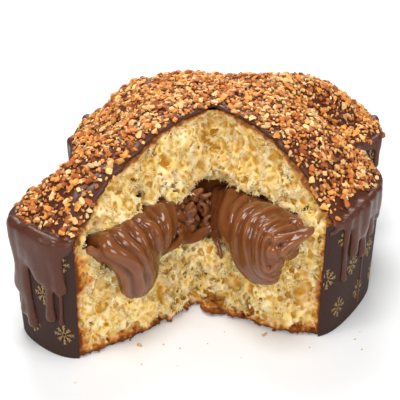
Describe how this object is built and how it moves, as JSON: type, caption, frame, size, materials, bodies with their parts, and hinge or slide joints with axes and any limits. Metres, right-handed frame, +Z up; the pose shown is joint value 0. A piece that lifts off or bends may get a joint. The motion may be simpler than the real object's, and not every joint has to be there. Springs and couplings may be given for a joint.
{
  "type": "colomba easter bread",
  "caption": "Dove-shaped sweet Easter bread in a paper case, chocolate glazed with chopped nuts, broken open to show crumb and hazelnut cream.",
  "frame": {"origin": "centre of the flat base of the paper case, on the surface that the bread stands on", "axes": "+X along the dove from its head lobe to its tail lobe, +Y towards the whole wing, +Z up"},
  "size_m": [0.2702, 0.2122, 0.1113],
  "materials": {
    "crumb": "open yellow crumb with a browned crust",
    "cream": "soft glossy hazelnut cream",
    "glaze": "satin dark milk chocolate with toasted chopped nuts",
    "paper": "ribbed dark brown paper with small gold snowflakes"
  },
  "bodies": {
    "root": {"bread": "crumb", "cream_filling": "cream", "glaze": "glaze", "paper_case": "paper"}
  },
  "joints": []
}
